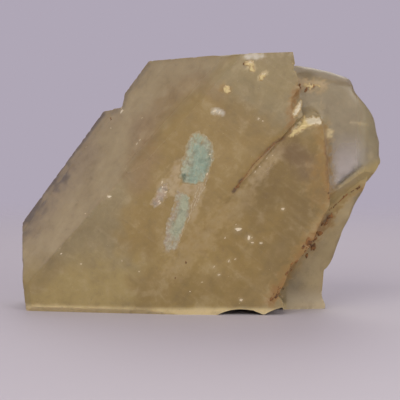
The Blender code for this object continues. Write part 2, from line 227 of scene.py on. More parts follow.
# Dark strands in the cracks: line, width and height in millimetres, and share that is sunk
STRANDS = (
    (CRACK[1:], 0.20, 0.04, 0.25),
    (CRACK[1:4], 0.24, 0.05, 0.1),
    (path(12.3, 38.4, 9.9, 35.3), 0.5, 0.09, 0.0),
    (PLATE_CRACK[:-1], 0.32, 0.06, 0.2),
)

# Seams with fine crumbs: line, share of the crumbs and spread in millimetres
CRUMB_SEAMS = ((SEAM, 0.6, 0.35), (UNIT_EDGE[2:], 0.15, 0.3), (PLATE_CRACK, 0.25, 0.3))

# Tones on the front: colour, line, reach in millimetres and strength, from broad to small
TONES = (
    ("gold", path(-46, 5, -30, 6, -12, 6, 2, 5), 14, 0.9),
    ("honey", path(-14, 8, 0, 9, 16, 7), 9, 0.8),
    ("umber", path(17, 33, 24, 40, 30, 43, 30, 24, 24, 16), 11, 1),
    ("umber", path(-14, 7.5, 2, 7, 14, 7, 22, 10), 8, 0.4),
    # Partly the plates' own tone, partly painted light through the thin plates beside the foot
    ("low_plate", path(41, 28, 36, 20, 34, 10), 8, 0.9),
    ("plate", path(29.5, 57, 34, 57.6), 3, 0.9),
    ("gold", path(14, 68, 22, 65), 10, 0.25),
    ("umber", path(10, 57.5, 15, 54), 6.5, 0.5),
    ("shade", path(-34.5, 37, -31, 33), 6, 0.12),
    ("shade", path(-17.5, 41.5, -15.5, 39.5), 4.5, 0.1),
    ("mauve", path(-16, 53, -15, 45, -17, 38), 6, 0.5),
    ("mauve", path(-13, 56, -8, 62, -1, 66.5, 5, 62.5), 4, 0.3),
    # Painted shade: grey and dark bands along the left flank, the upper rim and a short line at the right end
    # of the crown's top, darkest at the silhouettes
    ("ash", FLANK_LINE[:4], 9, 0.8),
    ("ash", FLANK_LINE[3:], 5, 0.4),
    # Painted shade: a darker band on the front just right of the lower left crease
    ("shade", path(-46.5, 7.4, -40.5, 13.6), 4, 0.34),
    ("slate", FLANK_LINE[:3], 4.4, 0.6),
    ("slate", path(-43.8, 34, -38.6, 40.4), 3, 0.6),
    ("slate", FLANK_EDGE, 1.2, 0.9),
    ("slate", UPPER_RIM, 1.2, 0.4),
    ("slate", path(43, 65.8, 43.8, 64.4), 1.3, 0.5),
    ("shade", path(35.5, 65.2, 43.3, 65), 0.8, 0.25),
    ("tan", path(13, 34, 6, 27.5, 0, 20.5, -7, 12.5), 4.5, 0.28),
    ("tan", path(-4.6, 41.4, -6.6, 39.2, -8.6, 35.8), 3.2, 0.9),
    ("tan", path(-6.5, 34.9, -3.2, 35.9, 0.6, 37.6), 2.4, 0.8),
    ("tan", path(1, 38.5, -0.4, 33, -2, 28), 2.2, 0.55),
    ("tan", path(22.4, 46.8, 19.9, 43.8, 17.2, 40.6, 14.8, 37.8), 2.8, 0.55),
    ("violet", path(26, 46, 30, 43.5, 31, 41), 5.2, 0.85),
    ("orange", path(34.2, 43, 33.8, 34), 4.5, 0.5),
    ("orange", UNIT_EDGE, 3.6, 0.8),
    ("rust", UNIT_EDGE[1:], 1.3, 0.6),
    ("orange", SEAM[:4], 4.2, 0.7),
    ("orange", SEAM_FOOT, 3.4, 0.7),
    ("rust", SEAM[:4], 2.4, 0.8),
    ("rust", SEAM_FOOT, 1.5, 0.6),
    ("rust", path(22.4, 6.6, 20.6, 4), 2.2, 0.8),
    ("rust", CRACK, 0.9, 0.5),
    ("dark_rust", CRACK[1:4], 0.8, 0.45),
    ("dark_rust", path(12, 38.2, 9.9, 35.2), 0.8, 1),
    ("orange", PLATE_CRACK, 2.4, 0.7),
    ("rust", PLATE_CRACK, 1.3, 0.7),
    ("dark_rust", path(37.6, 27.9, 36, 25.6), 0.8, 0.6),
    ("dark_rust", PLATE_CRACK[:2], 0.7, 0.6),
    ("dark_rust", UNIT_EDGE[1:4], 0.8, 0.5),
    ("orange", CROWN_LEDGE, 2.6, 0.6),
    ("rust", CROWN_STAIN, 1.8, 0.75),
    ("tan", CROWN_LEDGE, 2.2, 0.7),
    ("dark_rust", path(32.6, 64.3, 31.6, 64.5), 0.9, 0.8),
    ("straw", TOP_LEDGE, 1.6, 0.8),
    ("straw", path(37.1, 51.7, 37.2, 50.7), 1.2, 0.8),
    ("wisp", path(43.5, 54.3, 47.8, 53.6), 0.6, 0.4),
    ("chalk", path(13.8, 72.8, 17.8, 73.1), 1.3, 0.85),
    ("straw", path(13.8, 70.1, 15.2, 70.3, 15, 69.2), 1.2, 0.5),
    ("dark_rust", path(12.9, 70.7, 13.1, 70), 0.7, 0.6),
    ("straw", path(16.7, 66.5, 17.8, 67.9, 18.9, 68.2), 0.8, 0.4),
    ("orange", path(7.4, 63.9, 8, 63.5), 1.6, 0.8),
    # Painted glint: a pale bluish smudge among the glints there
    ("chalk", path(4.2, 57.5, 6.4, 57.1), 1.1, 0.9),
)

# Glints on the front, painted as pale flakes: X, Z and size in millimetres, and slant in degrees
GLINTS = (
    (-22.4, 57.4, 1.5, 80), (-25.6, 52.4, 0.5, 0), (-16.3, 55.4, 0.6, 40), (-16.7, 49.2, 0.7, 60),
    (-17.6, 48.1, 0.8, 55), (-10.3, 37.4, 1, 70), (-9.2, 34.7, 1, 30), (-11.1, 32.1, 0.9, 35),
    (-25.4, 33.2, 1.2, 0), (-32.3, 28.2, 0.6, 0), (-39.3, 16.7, 0.6, 20), (-33.5, 13.9, 0.6, 0),
    (-21.7, 15, 0.4, 90), (-16.8, 12.1, 0.6, 0), (-2.4, 6.6, 0.5, 0), (1, 9.3, 0.5, 30),
    (5.8, 11.4, 0.9, 10), (7.5, 21.9, 0.7, 60), (11.1, 24.4, 1.9, 5), (14.2, 22, 1.6, 80),
    (8.6, 15.4, 0.8, 70), (15.2, 20.6, 0.8, 0), (17.6, 20.5, 0.8, 0), (10.4, 15.9, 0.7, 20),
    (23.7, 30.1, 1, 0), (4.4, 13.7, 0.7, 50), (12, 4.3, 1.1, 10), (16.8, 55.4, 0.8, 45),
    (18, 54.8, 0.5, 0), (4.6, 57.6, 1.1, 20), (5.9, 57.1, 1, 60), (3.3, 45.4, 0.9, 20),
    (3.7, 43.9, 0.6, 60), (2.5, 39.9, 0.9, 70), (-10.2, 36, 0.7, 60), (-10.8, 31.6, 0.8, 45),
    (-9.5, 33.6, 0.7, 50), (18.6, 67.9, 0.7, 30), (17.2, 67, 0.6, 10), (17.9, 66.6, 0.5, 50),
    (19.2, 44.4, 0.6, 50), (20.8, 45.2, 0.5, 40), (15.9, 40.5, 0.6, 60), (17.2, 42, 0.4, 50),
)

# Healed cracks: X, Z, depth below the front, width, height, the way they face and their bend
HEALED = (
    (20.2, 43.6, 0.7, 4, 9, (-0.55, -0.9, 0.45), 0.4),
    (26, 48.3, 0.6, 5, 2.4, (-0.3, -1, 0.6), 0.3),
    (44, 51.5, 1.2, 9, 3, (0.1, -1, 0.4), 0.3),
    (-19.5, 42.5, 0.9, 2.4, 8, (-0.6, -0.8, 0.2), 0.5),
)


def length_field(name, description, default):
    """One length that a user may change."""
    return FloatProperty(name=name, description=description, default=default, unit="LENGTH")


def colour_field(name, description, default):
    """One colour that a user may change."""
    return FloatVectorProperty(name=name, description=description, subtype="COLOR", default=default)


class CrystalSettings(PropertyGroup):
    """Sizes and colours of the crystal mass."""

    grain: length_field("Grain", "Distance between the points of the fine skin", 0.0005)
    edge_wear: length_field("Edge wear", "How deep the edges are chipped", 0.00014)
    ripple: length_field("Ripple", "Height of the ripples on broken surfaces", 0.00006)
    swell: length_field("Swell", "Height of the slow waves on the crystal faces", 0.00006)
    refraction: FloatProperty(name="Refraction", description="Index of refraction of quartz", default=1.544)
    depth: FloatProperty(name="Depth", description="Strength of the tint for each metre", default=30.0)
    tint: colour_field("Tint", "Colour of light after some way inside", (0.84, 0.76, 0.42))
    smoke: colour_field("Smoke", "Outer zone", (0.250, 0.192, 0.088))
    honey: colour_field("Honey", "Core", (0.260, 0.175, 0.050))
    gold: colour_field("Gold", "Yellowest part, along the foot", (0.328, 0.244, 0.084))
    umber: colour_field("Umber", "Brownest part, in the second unit", (0.203, 0.136, 0.041))
    # Painted light: the left-facing facet is paler and greyer because more light falls on that side
    lit_facet: colour_field("Facet", "Paler left facet", (0.385, 0.305, 0.170))
    plate: colour_field("Plate", "Thin plates on the right", (0.264, 0.212, 0.116))
    # Painted shade: olive darkens the right bevel of the plates
    shaded_olive: colour_field("Olive", "Bevelled rim of the plates", (0.235, 0.196, 0.108))
    # Low plate and foot are partly the plates' own paler tone and partly painted light, shining through the
    # thin plates and lifting the shade under the step beside them
    low_plate: colour_field("Low plate", "Plates beside the foot", (0.418, 0.328, 0.160))
    foot: colour_field("Foot", "Lowest part of the plates", (0.480, 0.400, 0.255))
    violet: colour_field("Violet", "Dark smoky patch in the second unit", (0.168, 0.108, 0.045))
    # Ash and slate are painted shade along the left flank and its silhouette; slate also darkens the pits of
    # the faces
    ash: colour_field("Ash", "Grey zone along the upper left flank", (0.296, 0.228, 0.138))
    slate: colour_field("Slate", "Darkest line of the flank", (0.140, 0.114, 0.092))
    mauve: colour_field("Mauve", "Rosy haze beside the core", (0.252, 0.164, 0.082))
    tan: colour_field("Tan", "Pale haze around the blades and beside the crack", (0.350, 0.265, 0.140))
    straw: colour_field("Straw", "Pale yellow crust", (0.560, 0.450, 0.235))
    # Chalk is pale bruises and, beside the glints at 5, 57, a painted glint
    chalk: colour_field("Chalk", "Bluish white bruises", (0.480, 0.445, 0.360))
    orange: colour_field("Orange", "Faint iron stain", (0.250, 0.150, 0.037))
    rust: colour_field("Rust", "Strong iron stain", (0.235, 0.122, 0.030))
    dark_rust: colour_field("Dark rust", "Darkest iron stain", (0.085, 0.044, 0.016))
    # Wisp also paints light: the glow around the glints and the paler top of the crown
    wisp: colour_field("Wisp", "Pale wisps in the haze", (0.420, 0.340, 0.198))
    # Shade is both the dark clouds of the haze and painted shade, as in the band beside the left crease
    shade: colour_field("Shade", "Dark clouds in the haze", (0.150, 0.100, 0.044))


class BladeSettings(PropertyGroup):
    """Sizes and colours of the included blades."""

    grain: length_field("Grain", "Distance between the points of a blade", 0.00017)
    relief: length_field("Relief", "Height of the grains", 0.00012)
    thickness: length_field("Thickness", "Thickness of a blade", 0.0012)
    fibre: length_field("Fibre", "Width of one fibre", 0.00034)
    teal: colour_field("Teal", "Heart of the upper blade", (0.213, 0.290, 0.217))
    sea_grey: colour_field("Sea grey", "Rim of the upper blade", (0.270, 0.240, 0.160))
    dark_teal: colour_field("Dark teal", "Dark corner of the upper blade", (0.060, 0.095, 0.055))
    pale_green: colour_field("Pale green", "Lower blade", (0.287, 0.312, 0.203))
    pale_pink: colour_field("Pale pink", "Left blade", (0.320, 0.236, 0.165))
    beige: colour_field("Beige", "Pale parts of the left blade", (0.390, 0.310, 0.215))
    fleck: colour_field("Fleck", "Pale flecks in the blades", (0.420, 0.400, 0.285))
    bed: colour_field("Bed", "Quartz that shows between the fibres", (0.285, 0.205, 0.085))


class CrackSettings(PropertyGroup):
    """Healed cracks just below the surface."""

    strength: FloatProperty(name="Strength", description="Density", default=0.8, min=0.0, max=1.0)
    film: colour_field("Film", "Colour of the films", (0.62, 0.50, 0.36))


class SpotSettings(PropertyGroup):
    """Glints, crumbs and flakes on the surface."""

    specks: IntProperty(name="Specks", description="Number of the smallest bright specks", default=170)
    crumbs: IntProperty(name="Crumbs", description="Number of fine rust crumbs along the seams", default=150)
    # Painted glints: the flakes are partly pale crushed quartz and partly painted glints, where tiny cracks
    # catch the light
    glint: colour_field("Glint", "Colour of the bright spots", (0.54, 0.44, 0.28))
    crust: colour_field("Crust", "Colour of the pale yellow crust", (0.50, 0.41, 0.175))
    crumb: colour_field("Crumb", "Colour of the rust crumbs", (0.085, 0.036, 0.009))
    grain: length_field("Grain", "Distance between the points of a crust", 0.00016)
    relief: length_field("Relief", "Height of the crusts", 0.00022)
    thickness: length_field("Thickness", "Thickness of a crust", 0.0006)


class StageSettings(PropertyGroup):
    """Floor, light and camera."""

    floor: colour_field("Floor", "Colour of the floor", (0.50, 0.47, 0.50))
    backdrop: colour_field("Backdrop", "Colour behind the specimen", (0.43, 0.386, 0.468))
    camera_distance: length_field("Camera distance", "From the camera to the middle", 0.46575)
    camera_height: length_field("Camera height", "Above the floor", 0.062)
    camera_side: length_field("Camera side", "To the right of the middle", 0.00045)
    camera_dip: FloatProperty(
        name="Camera dip", description="How far it looks down", default=math.radians(3.738), subtype="ANGLE"
    )
    lens: FloatProperty(name="Lens", description="Focal length in millimetres", default=144.49)
    key_light: FloatProperty(name="Key light", description="Power of the key light in watts", default=3.6)
    fill_light: FloatProperty(name="Fill light", description="Power of the right light in watts", default=2.6)
    back_light: FloatProperty(name="Back light", description="Power of the back light in watts", default=1.6)


class Value:
    """One socket of a finish, so that shader maths reads as Python."""

    def __init__(self, finish, socket):
        self.finish = finish
        self.socket = socket

    def __add__(self, other):
        return self.finish.math("ADD", self, other)

    def __sub__(self, other):
        return self.finish.math("SUBTRACT", self, other)

    def __rsub__(self, other):
        return self.finish.math("SUBTRACT", other, self)

    def __mul__(self, other):
        return self.finish.math("MULTIPLY", self, other)

    __radd__ = __add__
    __rmul__ = __mul__

    def clamped(self):
        """The value kept between 0 and 1."""
        return self.finish.math("MINIMUM", self.finish.math("MAXIMUM", self, 0.0), 1.0)

    def between(self, low, high):
        """0 below low and 1 above high, with a smooth step between them."""
        sockets = {"Value": self, "From Min": low, "From Max": high}
        return self.finish.node("ShaderNodeMapRange", sockets, "Result", interpolation_type="SMOOTHSTEP")


class Finish:
    """One material, built up from nodes."""

    def __init__(self, name):
        self.name = name
        self.material = bpy.data.materials.new(name)
        self.material.use_nodes = True
        self.tree = self.material.node_tree
        self.tree.nodes.clear()
        self.output = self.tree.nodes.new("ShaderNodeOutputMaterial")
        self.place = self.node("ShaderNodeTexCoord", None, "Object")

    def node(self, kind, sockets=None, output=0, **settings):
        """What a node of any type gives. Its settings are set first, then its sockets' values or links."""
        made = self.tree.nodes.new(kind)
        for name, setting in settings.items():
            setattr(made, name, setting)
        for name, value in (sockets or {}).items():
            self.plug(made.inputs[name], value)
        return Value(self, made.outputs[output])

    def plug(self, socket, value):
        """Links a value to a socket, or sets the socket to a number or a colour."""
        if isinstance(value, Value):
            self.tree.links.new(value.socket, socket)
        elif socket.type == "RGBA":
            socket.default_value = (*value[:3], 1.0)
        else:
            socket.default_value = value

    def math(self, operation, first, second):
        """One sum on two values."""
        return self.node("ShaderNodeMath", {0: first, 1: second}, operation=operation)

    def mix(self, first, second, factor):
        """A colour between two colours."""
        return self.node("ShaderNodeMix", {0: factor, 6: first, 7: second}, 2, data_type="RGBA")

    def attribute(self, name, output="Fac"):
        """A value or a colour stored on the mesh's points."""
        return self.node("ShaderNodeAttribute", None, output, attribute_name=name)

    def noise(self, scale, detail=4.0, roughness=0.55, distortion=0.0, place=None):
        """Cloudy noise from 0 to 1, with its scale for each metre."""
        sockets = {"Vector": place or self.place, "Scale": scale, "Detail": detail}
        sockets.update({"Roughness": roughness, "Distortion": distortion})
        return self.node("ShaderNodeTexNoise", sockets, "Fac")

    def cells(self, scale):
        """Distance to the nearest of many scattered points."""
        return self.node("ShaderNodeTexVoronoi", {"Vector": self.place, "Scale": scale}, "Distance")

    def stretched(self, turn, stretch):
        """The place turned about Y by an angle and stretched, for lines that run one way."""
        turned = self.node("ShaderNodeMapping", {"Vector": self.place, "Rotation": (0.0, turn, 0.0)})
        return self.node("ShaderNodeVectorMath", {0: turned, 1: stretch}, operation="MULTIPLY")

    def bump(self, height, strength, distance):
        """A bumped normal from a height between 0 and 1."""
        return self.node("ShaderNodeBump", {"Height": height, "Strength": strength, "Distance": distance})

    def principled(self, sockets):
        """One Principled shader."""
        return self.node("ShaderNodeBsdfPrincipled", sockets)

    def mix_shaders(self, first, second, factor):
        """One shader laid over another."""
        return self.node("ShaderNodeMixShader", {0: factor, 1: first, 2: second})

    def surface(self, shader):
        """Ends the material's surface with a shader."""
        self.plug(self.output.inputs["Surface"], shader)

    def absorb(self, colour, density):
        """Tints light on its way through the inside."""
        made = self.node("ShaderNodeVolumeAbsorption", {"Color": colour, "Density": density})
        self.plug(self.output.inputs["Volume"], made)


class Skin:
    """A mesh's points as arrays, so that all of them can be shaped at once."""

    def __init__(self, mesh):
        self.mesh = mesh
        self.points = self.read(mesh.vertices, "co", 3)
        self.edges = self.read(mesh.edges, "vertices", 2, np.int32)
        self.count = np.bincount(self.edges.ravel(), minlength=len(self.points))

    def read(self, items, name, width, kind=np.float32):
        """One property of every item as an array."""
        values = np.empty(len(items) * width, kind)
        items.foreach_get(name, values)
        return values.reshape(-1, width).astype(np.float64 if kind is np.float32 else kind)

    def normals(self):
        """The normal at each point."""
        return self.read(self.mesh.vertices, "normal", 3)

    def averaged(self, values):
        """The mean over each point's neighbours."""
        first, second = self.edges.T
        columns = values.reshape(len(values), -1).T
        sums = [
            np.bincount(first, column[second], len(values)) + np.bincount(second, column[first], len(values))
            for column in columns
        ]
        return (np.array(sums) / self.count).T.reshape(values.shape)

    def spread(self, values, steps):
        """The values smoothed over the mesh."""
        for _ in range(steps):
            values = 0.5 * values + 0.5 * self.averaged(values)
        return values

    def ridges(self, steps):
        """How far each point stands out from its neighbours, in metres: positive on an edge."""
        return ((self.points - self.spread(self.points, steps)) * self.normals()).sum(axis=1)

    def noise(self, scale, offset):
        """Fractal noise at every point, about -1 to 1."""
        shift = Vector((offset, -offset, 2 * offset))
        return np.array([cloud(Vector(p) * scale + shift, 3) for p in self.points])

    def near(self, line, full, none):
        """1 up to a distance from a line in the front view, and 0 beyond another, in millimetres."""
        return 1.0 - smooth_step(line_distance(self.points, line), full, none)

    def place(self, points):
        """Puts every point in its new place."""
        self.points = points
        self.mesh.vertices.foreach_set("co", points.astype(np.float32).ravel())
        self.mesh.update()

    def store(self, name, values):
        """Keeps a value for each point, for the finish to read."""
        layer = self.mesh.attributes.new(name, "FLOAT", "POINT")
        layer.data.foreach_set("value", np.clip(values, 0.0, 1.0).astype(np.float32))

    def store_colour(self, name, colours):
        """Keeps a colour for each point, for the finish to read."""
        layer = self.mesh.color_attributes.new(name, "FLOAT_COLOR", "POINT")
        full = np.hstack([np.clip(colours, 0.0, 1.0), np.ones((len(colours), 1))])
        layer.data.foreach_set("color", full.astype(np.float32).ravel())


def cloud(place, octaves):
    """Fractal noise at one place."""
    return noise.fractal(place, 1.0, 2.0, octaves)


def smooth_step(values, low, high):
    """0 below low and 1 above high, with a smooth step between them."""
    share = np.clip((values - low) / (high - low), 0.0, 1.0)
    return share * share * (3.0 - 2.0 * share)


def blend(first, second, share):
    """Colours between two sets of colours."""
    share = np.asarray(share)[..., None]
    return first * (1.0 - share) + np.array(second) * share


def line_distance(points, line):
    """Distance in the front view from each point to a line, in millimetres."""
    flat = points[:, [0, 2]] / MM
    best = np.full(len(flat), np.inf)
    corners = np.array(line)
    for start, end in zip(corners[:-1], corners[1:]):
        way = end - start
        share = np.clip((flat - start) @ way / (way @ way), 0.0, 1.0)
        best = np.minimum(best, np.linalg.norm(flat - start - share[:, None] * way, axis=1))
    return best


def depth_inside(points, outline):
    """How far each point lies inside an outline in the front view, in millimetres."""
    x, z = points[:, 0] / MM, points[:, 2] / MM
    within = np.zeros(len(points), bool)
    for (x0, z0), (x1, z1) in zip(outline, outline[1:] + outline[:1]):
        if z0 != z1:
            within ^= ((z0 > z) != (z1 > z)) & (x < (x1 - x0) * (z - z0) / (z1 - z0) + x0)
    return np.where(within, 1.0, -1.0) * line_distance(points, outline + outline[:1])


def along(line, count):
    """Points spaced evenly along a line, in its own units."""
    corners = np.array(line)
    lengths = np.linalg.norm(np.diff(corners, axis=0), axis=1)
    marks = np.concatenate([[0.0], np.cumsum(lengths)])
    wanted = np.linspace(0.0, marks[-1], count)
    return np.stack([np.interp(wanted, marks, corners[:, k]) for k in (0, 1)], axis=1)


def add_piece(name, mesh, sharp=180.0):
    """An object of the specimen that rides on its body, smooth but for edges over an angle in degrees."""
    if sharp:
        mesh.shade_smooth()
        mesh.set_sharp_from_angle(angle=math.radians(sharp))
    piece = bpy.data.objects.new(name, mesh)
    bpy.context.scene.collection.objects.link(piece)
    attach(piece, BODY)
    return piece


def mesh_from(shape, name, finish):
    """A mesh datablock from a bmesh, with its finish."""
    bmesh.ops.recalc_face_normals(shape, faces=shape.faces[:])
    mesh = bpy.data.meshes.new(name)
    shape.to_mesh(mesh)
    shape.free()
    mesh.materials.append(finish.material)
    return mesh


def front_plane(shape):
    """A point on the largest flat face that looks to the front, and its normal."""
    areas = {}
    for face in shape.faces:
        if face.normal.y < -0.9:
            key = tuple(round(part, 2) for part in face.normal)
            areas.setdefault(key, []).append((face.calc_area(), face))
    group = max(areas.values(), key=lambda faces: sum(area for area, _ in faces))
    face = max(group, key=lambda item: item[0])[1]
    return face.calc_center_median(), face.normal.copy()


def closed_crystal():
    """The crystal's solid with the blades' pockets closed."""
    shape = bmesh.new()
    shape.from_mesh(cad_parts[CRYSTAL].data)
    bmesh.ops.remove_doubles(shape, verts=shape.verts[:], dist=1e-6)
    point, normal = front_plane(shape)
    margin = Vector((0.8, 2.5, 0.8)) * MM
    pockets = set()
    for blade in (UPPER_BLADE, LOWER_BLADE, LEFT_BLADE):
        low, high = (Vector(corner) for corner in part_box(blade))
        low, high = low - margin, high + margin
        for face in shape.faces:
            deep = (point - face.calc_center_median()).dot(normal) > 0.05 * MM
            if deep and all(low[k] < v.co[k] < high[k] for v in face.verts for k in range(3)):
                pockets.add(face)
    bmesh.ops.delete(shape, geom=list(pockets), context="FACES")
    rims = [edge for edge in shape.edges if edge.is_boundary]
    bmesh.ops.holes_fill(shape, edges=rims, sides=0)
    bmesh.ops.recalc_face_normals(shape, faces=shape.faces[:])
    return shape


def flatness(shape, points):
    """1 where a point lies on a broad flat face of the solid, and 0 on a break."""
    def plane(face):
        return tuple(round(part, 1) for part in (*face.normal, face.normal.dot(face.verts[0].co) / MM / 4))

    areas = {}
    for face in shape.faces:
        areas[plane(face)] = areas.get(plane(face), 0.0) + face.calc_area() / MM**2
    broad = [areas[plane(face)] > BROAD_FACE for face in shape.faces]
    tree = BVHTree.FromBMesh(shape)
    return np.array([float(broad[tree.find_nearest(Vector(p))[2]]) for p in points])


def sharp_edges(shape):
    """The solid's sharp edges as a tree of close points."""
    marks = []
    for edge in shape.edges:
        if len(edge.link_faces) == 2 and edge.calc_face_angle() > SHARP_EDGE:
            first, second = (vert.co for vert in edge.verts)
            steps = math.ceil(edge.calc_length() / (0.08 * MM)) + 1
            marks += [first.lerp(second, k / steps) for k in range(steps + 1)]
    tree = KDTree(len(marks))
    for index, mark in enumerate(marks):
        tree.insert(mark, index)
    tree.balance()
    return tree


def fine_skin(shape, grain):
    """A dense, even skin over a solid, with its points drawn onto the solid's sharp edges."""
    mesh = bpy.data.meshes.new("coarse")
    shape.to_mesh(mesh)
    guide = bpy.data.objects.new("coarse", mesh)
    bpy.context.scene.collection.objects.link(guide)
    step = guide.modifiers.new("skin", "REMESH")
    step.mode = "VOXEL"
    step.voxel_size = grain
    graph = bpy.context.evaluated_depsgraph_get()
    fine = bpy.data.meshes.new_from_object(guide.evaluated_get(graph))
    bpy.data.objects.remove(guide, do_unlink=True)
    edges = sharp_edges(shape)
    skin = bmesh.new()
    skin.from_mesh(fine)
    for vert in skin.verts:
        place, _, distance = edges.find(vert.co)
        if distance < grain * 0.75:
            vert.co = place
    bmesh.ops.remove_doubles(skin, verts=skin.verts[:], dist=grain * 0.2)
    skin.to_mesh(fine)
    skin.free()
    return fine


def soften(skin, front):
    """Rounds the low step between the two units, the left shoulder and the worn plates."""
    x, y, z = skin.points.T / MM
    units = np.maximum(skin.near(RIDGE, 1.0, 3.2), 0.9 * skin.near(CRACK, 0.8, 2.4)) * front
    rim = 0.9 * smooth_step(line_distance(skin.points, RIM_BAND), 2.0, 4.0)
    plates = smooth_step(x, 37.0, 39.0) * (y > -12.8) * rim
    crown = smooth_step(x, 29.0, 31.0) * smooth_step(z, 54.0, 57.0) * (y > -14.0) * rim
    flank = skin.near(FLANK_GROOVE, 1.2, 3.0) * (y < 0.0) * (x < -18.0)
    shoulder = skin.near(SHOULDER, 2.0, 4.5) * (y < 0.0) * smooth_step(z, 34.0, 44.0)
    share = np.maximum.reduce([units, plates, crown, flank, shoulder]) * smooth_step(z, 1.0, 4.0)
    skin.place(skin.points + (skin.spread(skin.points, 16) - skin.points) * share[:, None])


def shape_skin(skin, flat, settings):
    """Waves on the faces, ripples on the breaks, chipped edges and the open crack."""
    front = smooth_step(-skin.normals()[:, 1], 0.5, 0.8) * (skin.points[:, 1] < -12.0 * MM)
    soften(skin, skin.spread(front, 6))
    blades = np.maximum(skin.near(TEAL_LINE, 4.0, 8.0), skin.near(path(-5, 32, -8, 20), 4.0, 8.0))
    edge = smooth_step(skin.spread(skin.ridges(3), 1), 0.03 * MM, 0.12 * MM)
    chips = edge * smooth_step(skin.noise(800.0, 3.0), 0.15, 0.45)
    swell = skin.noise(110.0, 5.0) * settings.swell * (1.0 - 0.7 * blades)
    rings = np.sin(np.linalg.norm(skin.points - RING_CENTRE, axis=1) / (0.42 * MM))
    ripples = (rings * 0.6 + skin.noise(330.0, 9.0)) * settings.ripple
    crack = skin.near(CRACK, 0.15, 0.5) * front * 0.2 * MM
    heights = swell * (1.0 - edge) + ripples * (1.0 - flat) - chips * settings.edge_wear - crack
    above = smooth_step(skin.points[:, 2], 0.2 * MM, 1.2 * MM)
    skin.place(skin.points + skin.normals() * (heights * above)[:, None])
    return chips


